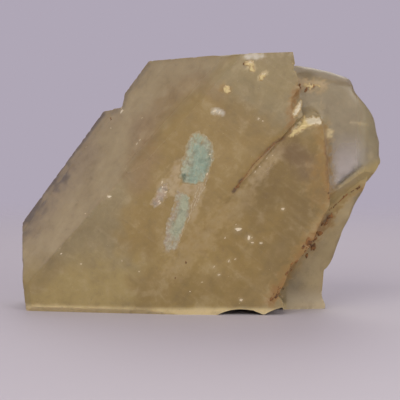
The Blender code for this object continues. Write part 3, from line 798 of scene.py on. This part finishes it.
def paint_skin(skin, flat, chips, settings):
    """Stores the tone and the haze of every point of the crystal, with some light and shade painted into the
    tone.
    """
    normals = skin.normals()
    x, y, z = skin.points.T / MM
    front = smooth_step(-normals[:, 1], 0.1, 0.4)
    wander = skin.noise(260.0, 11.0)
    fine = skin.noise(900.0, 13.0)
    plates = np.maximum.reduce([
        smooth_step(x, 36.6, 37.4) * smooth_step(y, -13.5, -12.8),
        smooth_step(x, 25.0, 26.0) * smooth_step(y, -9.5, -8.5) * (z < 30.0),
        smooth_step(x, 27.0, 29.5) * smooth_step(z, 55.0, 57.5) * smooth_step(y, -13.0, -11.5),
    ])
    core = smooth_step(depth_inside(skin.points, CORE) + 2.6 * wander, -5.0, 3.0) * (1.0 - plates)
    high = smooth_step(z, 34.0, 46.0)
    # Painted light: points that face left take the paler facet tone, fully low down and less higher up and in
    # the core, as the lit side of the crystal
    tilted = smooth_step(-normals[:, 0], 0.42, 0.52) * smooth_step(-normals[:, 1], 0.3, 0.45)
    lit_facet = skin.spread(tilted, 1) * (1.0 - high) + skin.spread(tilted, 20) * high
    lit_facet = lit_facet * (1.0 - 0.35 * smooth_step(z, 12.0, 48.0)) * (1.0 - 0.6 * core)
    tone = np.tile(np.array(settings.smoke), (len(x), 1))
    for colour, share in (("honey", core), ("lit_facet", lit_facet), ("plate", plates)):
        tone = blend(tone, getattr(settings, colour), share)
    stains = np.zeros(len(x))
    for colour, line, reach, strength in TONES:
        stain = reach < 5.0 and colour not in ("shade", "slate", "mauve")
        ragged = 1.0 + 0.35 * wander + (0.5 * fine if stain else 0.0)
        near = 1.0 - line_distance(skin.points, line) / (reach * np.clip(ragged, 0.4, 1.8))
        mottled = np.clip(1.0 + 0.9 * fine, 0.4, 1.3) if stain else 1.0
        # Painted shade: the broad slate bands are mottled, and slate also reaches faces turned to the side,
        # so that it darkens the silhouettes
        if colour == "slate" and reach > 2.0:
            mottled = np.clip(0.9 + 1.6 * wander, 0.2, 1.4)
        facing = smooth_step(-normals[:, 1], -0.4, 0.0) if colour == "slate" else front
        share = np.clip(smooth_step(near, 0.0, 0.75) * facing * strength * mottled, 0.0, 1.0)
        tone = blend(tone, getattr(settings, colour), share)
        stains = np.maximum(stains, share if stain else 0.0)
    # Partly a pale bruise and partly a painted glow: the tone turns to wisp around each glint
    for glint_x, glint_z, size, _ in GLINTS:
        bruise_and_glow = 1.0 - smooth_step(np.hypot(x - glint_x, z - glint_z), 0.1 * size, 1.1 * size)
        tone = blend(tone, settings.wisp, bruise_and_glow * front * (0.5 if size > 0.7 else 0.25))
    # Painted light: a pale straw rim along the bottom edge, standing in for the bright rim there and lifting
    # the downward bevel out of its shade
    lit_bottom_rim = 1.0 - smooth_step(z + 0.3 * wander, 1.2, 2.6)
    corner = smooth_step(-normals[:, 0], 0.55, 0.8) * (1.0 - smooth_step(z, 7.0, 10.0)) * (x < 0.0)
    # Painted shade: the facets of the plates that face right are darkened with umber, and the bevel band at
    # their right with olive
    right_facet_shade = skin.spread(smooth_step(normals[:, 0], 0.35, 0.6) * plates, 6)
    bevel = smooth_step(x + 0.4 * wander, 45.6, 48.4) * smooth_step(z, 38.0, 40.0) * plates
    # Painted light: the lowest part of the plates is painted pale, as light through them
    foot = (1.0 - smooth_step(z, 2.0, 7.0)) * smooth_step(x, 25.0, 26.0) * front
    for colour, share in (
        ("gold", corner),
        ("straw", lit_bottom_rim * front * 0.9),
        ("umber", right_facet_shade * 0.35),
        ("shaded_olive", bevel * 0.8),
        ("foot", foot),
        ("gold", skin.near(RIM_BAND, 1.0, 3.2) * plates * 0.7),
        # Painted light: the crown's top is made a little paler, as light shining through the thin plates
        ("wisp", skin.near(CROWN_TOP, 1.0, 4.5) * plates * 0.12),
        ("umber", skin.near(SHOULDER, 0.4, 2.6) * front * high * 0.3),
    ):
        tone = blend(tone, getattr(settings, colour), share)
    skin.store_colour("tone", tone)
    clear = smooth_step(depth_inside(skin.points, WINDOW) + 1.6 * wander, -4.2, 2.6) * (x > 37.0)
    clear = clear * (1.0 - 0.5 * smooth_step(z, 41.0, 50.0))
    rim = skin.near(RIM_BAND, 2.3, 3.4)
    haze = 0.88 + (0.15 * rim - 0.08 - 0.12 * skin.near(CROWN_TOP, 0.5, 3.5)) * plates + 0.04 * core
    haze = haze * (1.0 - 0.95 * clear * plates * (1.0 - rim))
    skin.store("haze", haze + 0.5 * stains + 0.1 * (chips + lit_bottom_rim + bevel))
    frosted = smooth_step(x, 44.2, 46.2) * smooth_step(z, 36.0, 39.0) * plates
    shoulder = skin.near(SHOULDER, 0.8, 3.0) * front * high
    skin.store("worn", np.maximum.reduce([stains * 0.6, chips, frosted, shoulder]))
    skin.store("broken", skin.spread(1.0 - flat, 2))


def quartz_finish(settings):
    """Cloudy honey quartz: clear quartz with a haze over it, in the tones stored on the skin."""
    finish = Finish("honey_quartz")
    tone = finish.attribute("tone", "Color")
    haze, worn, broken = map(finish.attribute, ("haze", "worn", "broken"))
    clouds = finish.noise(75.0, 4.0, 0.55, 0.3)
    patches = finish.noise(240.0, 5.0, 0.6, 0.25)
    mottle = finish.noise(800.0, 4.0, 0.6)
    growth = finish.noise(1.0, 3.0, 0.5, 0.15, finish.stretched(AXIS_TILT, (700.0, 160.0, 60.0)))
    across = finish.noise(1.0, 3.0, 0.55, 0.3, finish.stretched(AXIS_TILT, (50.0, 160.0, 520.0)))
    dots = 1.0 - finish.cells(1500.0).between(0.02, 0.14)
    pits = 1.0 - finish.cells(640.0).between(0.03, 0.13)

    pale = patches.between(0.50, 0.72) * 0.26 + growth.between(0.54, 0.76) * 0.12
    pale = pale + clouds.between(0.52, 0.78) * 0.14 + mottle.between(0.55, 0.75) * 0.12
    dark = (1.0 - patches).between(0.50, 0.72) * 0.20 + across.between(0.54, 0.76) * 0.14
    dark = dark + (1.0 - clouds).between(0.50, 0.76) * 0.16 + (1.0 - mottle).between(0.55, 0.75) * 0.14
    paler = finish.mix(tone, settings.wisp, pale.clamped())
    darker = finish.mix(paler, settings.shade, dark.clamped())
    pitted = finish.mix(darker, settings.slate, pits * 0.35)
    colour = finish.mix(pitted, settings.straw, dots * 0.3)

    haze = haze + (clouds - 0.5) * 0.2 + (patches - 0.5) * 0.2
    relief = growth * 0.45 + across * 0.2 + mottle * 0.25 + finish.noise(2600.0, 2.0) * 0.15 - pits * 0.3
    normal = finish.bump(relief, 0.3, 0.0002)
    rough = (0.20 + mottle * 0.14 + worn * 0.35 + broken * 0.05).clamped()
    clear = finish.principled({
        "Base Color": (0.97, 0.93, 0.84),
        "Roughness": (rough * 0.6).clamped(),
        "IOR": settings.refraction,
        "Transmission Weight": 1.0,
        "Normal": normal,
    })
    cloudy = finish.principled({
        "Base Color": colour,
        "Roughness": (rough + 0.10).clamped(),
        "IOR": settings.refraction,
        "Subsurface Weight": 0.2,
        "Subsurface Radius": (0.006, 0.004, 0.002),
        "Subsurface Scale": 0.4,
        "Normal": normal,
    })
    finish.surface(finish.mix_shaders(clear, cloudy, haze.clamped()))
    finish.absorb(settings.tint, settings.depth)
    return finish


class Front:
    """The crystal's finished skin as seen from the front, for placing things on it."""

    def __init__(self):
        mesh = bpy.data.objects["crystal_mass"].data
        corners = [vert.co for vert in mesh.vertices]
        self.tree = BVHTree.FromPolygons(corners, [face.vertices for face in mesh.polygons])

    def cast(self, x, z):
        """The point that a line of sight meets at X and Z in millimetres and its normal, or twice None."""
        return self.tree.ray_cast(Vector((x * MM, -0.2, z * MM)), Vector((0.0, 1.0, 0.0)))[:2]

    def at(self, x, z):
        """The point on the front at X and Z, and its normal."""
        place, normal = self.cast(x, z)
        if place is None:
            raise RuntimeError(f"nothing at {x}, {z} on the front")
        return place, normal

    def holds(self, x, z):
        """Whether there is a front at X and Z."""
        return self.cast(x, z)[0] is not None


def mineral_finish(name, first, second, heart, settings):
    """A fibrous, granular mineral in two tones with pale flecks, that thins out at its rim."""
    finish = Finish(name)
    mottle = finish.noise(520.0, 5.0, 0.65, 0.5)
    grains = finish.noise(1000.0, 3.0, 0.6, 0.4)
    fibres = finish.noise(1.0, 4.0, 0.65, 0.5, finish.stretched(BLADE_TILT, (230.0, 700.0, 1100.0)))
    colour = finish.mix(first, second, mottle.between(0.40, 0.60))
    mark = (finish.attribute("heart") + (mottle - 0.5) * 1.1 + (grains - 0.5) * 0.4).between(0.05, 0.85)
    colour = finish.mix(colour, heart, mark * 0.9)
    colour = finish.mix(colour, settings.dark_teal, finish.attribute("spot"))
    flecks = grains.between(0.48, 0.66) * 0.45 + fibres.between(0.54, 0.68) * 0.35
    flecked = finish.mix(colour, settings.fleck, flecks * (1.0 - mark * 0.3))
    gaps = (1.0 - fibres).between(0.50, 0.66) * 0.5 + (1.0 - grains).between(0.52, 0.66) * 0.5
    veined = finish.mix(flecked, settings.bed, (gaps * (1.0 - mark * 0.7)).clamped())
    deep = finish.mix(veined, settings.dark_teal, (1.0 - mottle).between(0.48, 0.64) * 0.32)
    border = finish.attribute("rim") + (grains - 0.5) * 1.2 + (fibres - 0.5) * 0.8
    shaded = finish.mix(settings.bed, deep, border.between(0.0, 0.85))
    normal = finish.bump(grains * 0.6 + fibres * 0.4, 0.35, 0.00015)
    rough = 0.36 + mottle * 0.2
    finish.surface(finish.principled({"Base Color": shaded, "Roughness": rough, "Normal": normal}))
    return finish


def coat(shape, front, outline, settings, ragged, spare):
    """Adds a closed granular sheet that lies on the front, up to a ragged line beyond its outline."""
    corners = np.array(outline)
    margin = ragged + spare
    low, high = corners.min(axis=0) - margin, corners.max(axis=0) + margin
    pitch = settings.grain / MM * 1.0
    xs, zs = np.arange(low[0], high[0], pitch), np.arange(low[1], high[1], pitch)
    flat = np.array([(x, 0.0, z) for x in xs for z in zs]) * MM
    wander = np.array([cloud(Vector(p) * 520.0, 2) + 0.6 * noise.noise(Vector(p) * 1500.0) for p in flat])
    depth = depth_inside(flat, outline) + ragged * wander + spare
    rim = shape.verts.layers.float["rim"]
    way = np.array((math.cos(BLADE_TILT), math.sin(BLADE_TILT)))
    verts = {}
    for index in np.flatnonzero(depth > 0.0):
        x, z = flat[index][[0, 2]] / MM
        place, normal = front.cast(x, z)
        if place is None:
            continue
        forth, side = x * way[0] + z * way[1], x * way[1] - z * way[0]
        stripe = cloud(Vector((side * 1.5, forth * 0.35, 3.0)), 2)
        grain = cloud(Vector((x, 7.0, z)) * 1.3, 3)
        height = settings.relief * (0.45 + 0.35 * stripe + 0.35 * grain) * smooth_step(depth[index], 0.0, 0.5)
        vert = shape.verts.new(place + normal * (height - 0.03 * MM * (depth[index] < 0.15)))
        vert[rim] = min(1.0, depth[index] / 1.3)
        verts[divmod(int(index), len(zs))] = vert
    faces = []
    for (i, j) in verts:
        ring = [verts.get(key) for key in ((i, j), (i + 1, j), (i + 1, j + 1), (i, j + 1))]
        if all(ring) and max(vert.co.y for vert in ring) - min(vert.co.y for vert in ring) < 3.0 * pitch * MM:
            faces.append(shape.faces.new(ring))
    lone = [vert for vert in verts.values() if not vert.link_faces]
    bmesh.ops.delete(shape, geom=lone, context="VERTS")
    made = bmesh.ops.extrude_face_region(shape, geom=faces, use_keep_orig=True)
    back = [item for item in made["geom"] if isinstance(item, bmesh.types.BMVert)]
    bmesh.ops.translate(shape, verts=back, vec=(0.0, settings.thickness, 0.0))


def coat_shape():
    """An empty shape with the marks that the mineral finishes read."""
    shape = bmesh.new()
    for name in ("rim", "heart", "spot"):
        shape.verts.layers.float.new(name)
    return shape


def put_marks(shape, marks):
    """Stores how near each point of a coat is to the marks drawn on it."""
    points = np.array([vert.co for vert in shape.verts])
    for name, line, reach, strength in marks:
        layer = shape.verts.layers.float[name]
        for vert, gap in zip(shape.verts, line_distance(points, line)):
            vert[layer] = max(vert[layer], min(1.0, strength * (1.0 - gap / reach)))


def granular_blade(front, node, outline, marks, name, finish, settings):
    """A blade with a ragged outline and a granular face that stands just out of the crystal."""
    shape = coat_shape()
    coat(shape, front, outline, settings, 0.5, 0.35)
    put_marks(shape, marks)
    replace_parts(add_piece(name, mesh_from(shape, name, finish), 60.0), node)


def strand(shape, front, line, width, height, dice, gap=0.0, wavy=False):
    """A thin uneven strand that lies along a line on the front."""
    length = sum(math.dist(a, b) for a, b in zip(line[:-1], line[1:]))
    marks = along(line, max(4, round(length / (width / MM * 1.2))))
    places = []
    for x, z in marks:
        bow = 0.5 * noise.noise(Vector((x * 0.9, len(marks), z * 0.9))) if wavy else 0.0
        places.append(front.at(x + bow + dice.normal(0.0, 0.12 * width / MM), z))
    rings = []
    for k, (place, normal) in enumerate(places):
        ahead, behind = places[min(k + 1, len(places) - 1)][0], places[max(k - 1, 0)][0]
        side = (ahead - behind).cross(normal).normalized()
        ends = min(1.0, 0.25 + min(k, len(places) - 1 - k) * 0.4)
        wide = width * dice.uniform(0.5, 1.25) * ends
        tall = height * dice.uniform(0.5, 1.2) * ends
        if dice.random() < gap:
            tall = -tall
        rings.append([
            shape.verts.new(place + side * a * wide + normal * b * tall - normal * c * width)
            for a, b, c in STRAND_SECTION
        ])
    for first, second in zip(rings[:-1], rings[1:]):
        for k in range(-1, len(STRAND_SECTION) - 1):
            shape.faces.new((first[k], first[k + 1], second[k + 1], second[k]))
    shape.faces.new(rings[0])
    shape.faces.new(rings[-1])


def strewn(dice, x, z, spread):
    """A place drawn near X and Z."""
    return x + dice.normal(0.0, spread), z + dice.normal(0.0, spread)


def shard(shape, centre, normal, size, dice, slant=None):
    """A flat angular flake that lies on a surface, long in the direction of its slant."""
    level = Vector((0.0, 0.0, 1.0)).cross(normal)
    level = (level if level.length > 0.1 else normal.orthogonal()).normalized()
    up = normal.cross(level)
    turn = dice.uniform(0.0, math.pi) if slant is None else math.radians(slant)
    long_way = level * math.cos(turn) + up * math.sin(turn)
    cross_way = up * math.cos(turn) - level * math.sin(turn)
    sides = int(dice.integers(5, 9))
    stretch = dice.uniform(0.30, 0.6)
    rim, foot = [], []
    for step in range(sides):
        angle = 2 * math.pi * (step + dice.uniform(-0.35, 0.35)) / sides
        reach = size * dice.uniform(0.5, 1.0) / 2
        arm = (long_way * math.cos(angle) + cross_way * math.sin(angle) * stretch) * reach
        rise = min(size, 1.2 * MM) * 0.1 * dice.uniform(0.2, 1.0)
        rim.append(shape.verts.new(centre + arm * 0.8 + normal * rise))
        foot.append(shape.verts.new(centre + arm - normal * min(size, 0.6 * MM) * 0.25))
    shape.faces.new(rim)
    shape.faces.new(list(reversed(foot)))
    for k in range(sides):
        shape.faces.new((foot[k], foot[(k + 1) % sides], rim[(k + 1) % sides], rim[k]))


def lump(shape, centre, normal, size, dice, way):
    """A small rough crumb that is sunk into a surface and long in one way."""
    start = len(shape.verts)
    across = way.cross(normal).normalized()
    frame_of = Matrix((normal.cross(across).normalized(), across, normal)).transposed().to_4x4()
    squash = Matrix.Diagonal((dice.uniform(1.3, 2.4), dice.uniform(0.6, 1.1), dice.uniform(0.3, 0.6), 1.0))
    matrix = Matrix.Translation(centre) @ frame_of @ squash
    bmesh.ops.create_icosphere(shape, subdivisions=2, radius=size / 2, matrix=matrix)
    shape.verts.ensure_lookup_table()
    for vert in shape.verts[start:]:
        vert.co += (vert.co - centre) * 0.55 * noise.noise(vert.co * 2200.0)


def crust_finish(name, colour, second, roughness, scale, bed=None, heart=None):
    """A dull mineral crust in two mixed colours, that thins out at its rim if its bed is given."""
    finish = Finish(name)
    patches = finish.noise(scale, 5.0, 0.65, 0.5)
    shade = finish.mix(colour, second, patches.between(0.35, 0.65))
    if heart:
        white = finish.attribute("heart") + (patches - 0.5) * 0.8
        shade = finish.mix(shade, heart, white.between(0.1, 0.8))
    if bed:
        border = finish.attribute("rim") + (finish.noise(scale * 2.2, 3.0) - 0.5) * 1.2
        shade = finish.mix(bed, shade, border.between(0.1, 0.6))
    normal = finish.bump(finish.noise(scale * 3.0, 4.0), 0.5, 0.0002)
    rough = roughness + patches * 0.2
    finish.surface(finish.principled({"Base Color": shade, "Roughness": rough, "Normal": normal}))
    return finish


def film_finish(settings):
    """A healed crack: a film of tiny bubbles, dense in places and clear in others."""
    finish = Finish("healed_crack")
    wisps = finish.noise(700.0, 6.0, 0.65, 0.6)
    bubbles = 1.0 - finish.cells(2300.0).between(0.05, 0.35)
    dense = (wisps.between(0.42, 0.68) * 0.65 + bubbles * 0.35) * finish.attribute("fade")
    colour = finish.mix(settings.film, DARK_FILM, wisps.between(0.5, 0.75) * 0.5)
    finish.surface(finish.principled({
        "Base Color": colour,
        "Roughness": 0.4 + wisps * 0.2,
        "Alpha": (dense * settings.strength).clamped(),
    }))
    return finish


def film(shape, fade, centre, size, facing, bend, seed):
    """A gently curved sheet with a ragged, fading rim."""
    rows = 24
    turn = Vector(facing).normalized().to_track_quat("Z", "Y").to_matrix()
    grid = []
    for i in range(rows + 1):
        line = []
        for j in range(rows + 1):
            u, v = 2 * i / rows - 1, 2 * j / rows - 1
            rough = noise.noise(Vector((u * 3 + seed, v * 3, seed * 1.7)))
            bow = bend * (u * u + 0.5 * v * v) + 0.2 * rough
            vert = shape.verts.new(centre + turn @ Vector((u * size[0] / 2, v * size[1] / 2, bow)) * MM)
            vert[fade] = max(0.0, min(1.0, 1.6 * (1.0 - math.hypot(u, v) - 0.45 * rough)))
            line.append(vert)
        grid.append(line)
    for i in range(rows):
        for j in range(rows):
            corners = (grid[i][j], grid[i + 1][j], grid[i + 1][j + 1], grid[i][j + 1])
            if any(vert[fade] > 0.0 for vert in corners):
                shape.faces.new(corners)


class QUARTZ_OT_crystal(Operator):
    """Makes the crystal mass as a fine skin over its solid"""

    bl_idname = "quartz.crystal"
    bl_label = "Crystal mass"

    def execute(self, context):
        settings = context.scene.quartz_crystal
        shape = closed_crystal()
        mesh = fine_skin(shape, settings.grain * (1.0))
        mesh.name = "crystal_mass"
        skin = Skin(mesh)
        flat = skin.spread(flatness(shape, skin.points), 2)
        shape.free()
        chips = shape_skin(skin, flat, settings)
        paint_skin(skin, flat, chips, settings)
        mesh.materials.append(quartz_finish(settings).material)
        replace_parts(add_piece("crystal_mass", mesh, 40.0), CRYSTAL)
        return {"FINISHED"}


class QUARTZ_OT_blades(Operator):
    """Makes the three granular blades in the front face, and the fibres beside them"""

    bl_idname = "quartz.blades"
    bl_label = "Included blades"

    def execute(self, context):
        settings = context.scene.quartz_blades
        front = Front()
        grey, green, pink = settings.sea_grey, settings.pale_green, settings.pale_pink
        for colour, node, outline, marks, tones in (
            ("sea_green", UPPER_BLADE, UPPER_OUTLINE, UPPER_MARKS, (grey, green, settings.teal)),
            ("pale_green", LOWER_BLADE, LOWER_OUTLINE, LOWER_MARKS, (pink, grey, green)),
            ("pale_pink", LEFT_BLADE, LEFT_OUTLINE, LEFT_MARKS, (pink, settings.beige, pink)),
        ):
            finish = mineral_finish(colour + "_mineral", *tones, settings)
            granular_blade(front, node, outline, marks, colour + "_blade", finish, settings)
        dice = np.random.default_rng(FIBRE_SEED)
        shape = bmesh.new()
        for line in FIBRES:
            strand(shape, front, line, settings.fibre, 0.12 * MM, dice, 0.10, True)
        finish = crust_finish("pale_fibre", PALE_FIBRE, DARK_FIBRE, 0.45, 1800.0)
        add_piece("pale_fibres", mesh_from(shape, "pale_fibres", finish))
        return {"FINISHED"}


class QUARTZ_OT_cracks(Operator):
    """Makes the healed cracks just below the surface"""

    bl_idname = "quartz.cracks"
    bl_label = "Healed cracks"

    def execute(self, context):
        front = Front()
        shape = bmesh.new()
        fade = shape.verts.layers.float.new("fade")
        for seed, (x, z, depth, width, height, facing, bend) in enumerate(HEALED):
            centre = front.at(x, z)[0] + Vector((0.0, depth * MM, 0.0))
            film(shape, fade, centre, (width, height), facing, bend, seed + 1)
        finish = film_finish(context.scene.quartz_cracks)
        add_piece("healed_cracks", mesh_from(shape, "healed_cracks", finish))
        return {"FINISHED"}


class QUARTZ_OT_spots(Operator):
    """Makes the glints, crumbs and pale flakes on the surface"""

    bl_idname = "quartz.spots"
    bl_label = "Glints and crumbs"

    def execute(self, context):
        settings = context.scene.quartz_spots
        front = Front()
        self.add_glints(front, settings)
        self.add_rust(front, settings)
        self.add_crust(front, settings)
        return {"FINISHED"}

    def add_glints(self, front, settings):
        """Glints painted as pale flakes at the named places, and many smaller painted specks between them."""
        dice = np.random.default_rng(GLINT_SEED)
        shape = bmesh.new()
        for x, z, size, slant in GLINTS:
            shard(shape, *front.at(x, z), 1.5 * size * MM, dice, slant)
            for _ in range(int(dice.integers(0, 3))):
                place = front.at(*strewn(dice, x, z, size * 0.4))
                shard(shape, *place, dice.uniform(0.25, 0.5) * size * MM, dice)
        made = 0
        while made < settings.specks:
            x, z = dice.uniform(-50.0, 50.0), dice.uniform(2.0, 72.0)
            if front.holds(x, z):
                shard(shape, *front.at(x, z), dice.uniform(0.08, 0.24) * MM, dice)
                made += 1
        finish = crust_finish("bright_flakes", settings.glint, PALE_GLINT, 0.28, 900.0)
        add_piece("bright_flakes", mesh_from(shape, "bright_flakes", finish), sharp=None)

    def add_rust(self, front, settings):
        """A dark strand in the open crack, and rust crumbs along the seams."""
        dice = np.random.default_rng(RUST_SEED)
        shape = bmesh.new()
        for line, width, height, gap in STRANDS:
            strand(shape, front, line, width * MM, height * MM, dice, gap)
        for x, z, spread, count in RUST_SPOTS:
            for _ in range(count):
                u, v = strewn(dice, x, z, spread)
                if front.holds(u, v):
                    way = Vector((dice.uniform(0.1, 1.0), 0.0, dice.uniform(0.6, 1.6)))
                    lump(shape, *front.at(u, v), dice.uniform(0.25, 0.3 + 1.2 * spread) * MM, dice, way)
        for line, share, wide in CRUMB_SEAMS:
            for x, z in along(line, round(settings.crumbs * share)):
                x, z = strewn(dice, x, z, wide)
                clump = noise.noise(Vector((x * 0.4, 5.0, z * 0.4))) > 0.0
                if clump and front.holds(x, z):
                    way = Vector((dice.uniform(0.2, 1.0), 0.0, dice.uniform(0.5, 1.5)))
                    lump(shape, *front.at(x, z), dice.uniform(0.12, 0.45) * MM, dice, way)
        finish = crust_finish("rust_crumbs", settings.crumb, PALE_RUST, 0.6, 900.0)
        add_piece("rust_crumbs", mesh_from(shape, "rust_crumbs", finish))

    def add_crust(self, front, settings):
        """Pale yellow crust on the ledge over the second unit, the leaf beside it and the flakes."""
        shape = coat_shape()
        for outline, ragged, spare in CRUSTS:
            coat(shape, front, outline, settings, ragged, spare)
        put_marks(shape, CRUST_MARKS)
        tones = (CRUST_BED, CRUST_HEART)
        finish = crust_finish("yellow_crust", settings.crust, DEEP_CRUST, 0.4, 700.0, *tones)
        add_piece("yellow_crust", mesh_from(shape, "yellow_crust", finish), 60.0)


class QUARTZ_OT_stage(Operator):
    """Makes the floor, the lights and the camera"""

    bl_idname = "quartz.stage"
    bl_label = "Stage"

    def execute(self, context):
        settings = context.scene.quartz_stage
        self.add_floor(settings)
        self.add_backdrop(context, settings)
        for name, place, size in LIGHTS:
            self.add_light(name, place, size, getattr(settings, name))
        self.add_camera(context, settings)
        return {"FINISHED"}

    def add_floor(self, settings):
        """A round pale floor that fades out into the backdrop."""
        shape = bmesh.new()
        bmesh.ops.create_circle(shape, cap_ends=True, segments=96, radius=FLOOR_RADIUS)
        finish = Finish("pale_floor")
        distance = finish.node("ShaderNodeVectorMath", {0: finish.place}, "Value", operation="LENGTH")
        sheen = finish.noise(30.0, 3.0)
        finish.surface(finish.principled({
            "Base Color": settings.floor,
            "Roughness": 0.55 + sheen * 0.1,
            "Alpha": 1.0 - distance.between(*FLOOR_FADE),
        }))
        floor = bpy.data.objects.new("floor", mesh_from(shape, "floor", finish))
        bpy.context.scene.collection.objects.link(floor)

    def add_backdrop(self, context, settings):
        """An even backdrop that also lights the scene."""
        world = bpy.data.worlds.new("backdrop")
        world.use_nodes = True
        background = world.node_tree.nodes["Background"]
        background.inputs["Color"].default_value = (*settings.backdrop, 1.0)
        background.inputs["Strength"].default_value = 1.0
        context.scene.world = world
        context.scene.view_settings.view_transform = "Standard"

    def add_light(self, name, place, size, power):
        """A square soft light that faces the specimen."""
        light = bpy.data.lights.new(name, "AREA")
        light.color = LIGHT_COLOUR
        light.size = size
        light.energy = power
        lamp = bpy.data.objects.new(name, light)
        lamp.location = place
        lamp.rotation_euler = (Vector(LIT_POINT) - Vector(place)).to_track_quat("-Z", "Y").to_euler()
        bpy.context.scene.collection.objects.link(lamp)

    def add_camera(self, context, settings):
        """The camera in front, a little lower than the specimen's top."""
        camera = bpy.data.cameras.new("camera")
        camera.lens = settings.lens
        camera.sensor_width = 36.0
        camera.clip_start = 0.01
        viewer = bpy.data.objects.new("camera", camera)
        viewer.location = (settings.camera_side, -settings.camera_distance, settings.camera_height)
        viewer.rotation_euler = (math.pi / 2 - settings.camera_dip, 0.0, 0.0)
        context.scene.collection.objects.link(viewer)
        context.scene.camera = viewer


class QUARTZ_PT_panel(Panel):
    """Lists the settings and the operators"""

    bl_label = "Smoky Quartz Specimen"
    bl_space_type = "VIEW_3D"
    bl_region_type = "UI"
    bl_category = "Quartz"

    def draw(self, context):
        for name, _, operator in GROUPS:
            box = self.layout.box()
            settings = getattr(context.scene, name)
            for field in settings.__annotations__:
                box.prop(settings, field)
            box.operator(operator)


GROUPS = (
    ("quartz_crystal", CrystalSettings, "quartz.crystal"),
    ("quartz_blades", BladeSettings, "quartz.blades"),
    ("quartz_cracks", CrackSettings, "quartz.cracks"),
    ("quartz_spots", SpotSettings, "quartz.spots"),
    ("quartz_stage", StageSettings, "quartz.stage"),
)
OPERATORS = (QUARTZ_OT_crystal, QUARTZ_OT_blades, QUARTZ_OT_cracks, QUARTZ_OT_spots, QUARTZ_OT_stage)


def register():
    """Adds the settings, the operators and the panel."""
    for name, group, _ in GROUPS:
        bpy.utils.register_class(group)
        setattr(bpy.types.Scene, name, PointerProperty(type=group))
    for item in (*OPERATORS, QUARTZ_PT_panel):
        bpy.utils.register_class(item)


def unregister():
    """Takes them out again."""
    for item in (QUARTZ_PT_panel, *reversed(OPERATORS)):
        bpy.utils.unregister_class(item)
    for name, group, _ in reversed(GROUPS):
        delattr(bpy.types.Scene, name)
        bpy.utils.unregister_class(group)


def main():
    """Makes every piece and the stage."""
    register()
    bpy.ops.quartz.crystal()
    bpy.ops.quartz.blades()
    bpy.ops.quartz.cracks()
    bpy.ops.quartz.spots()
    bpy.ops.quartz.stage()


if __name__ == "__main__":
    main()
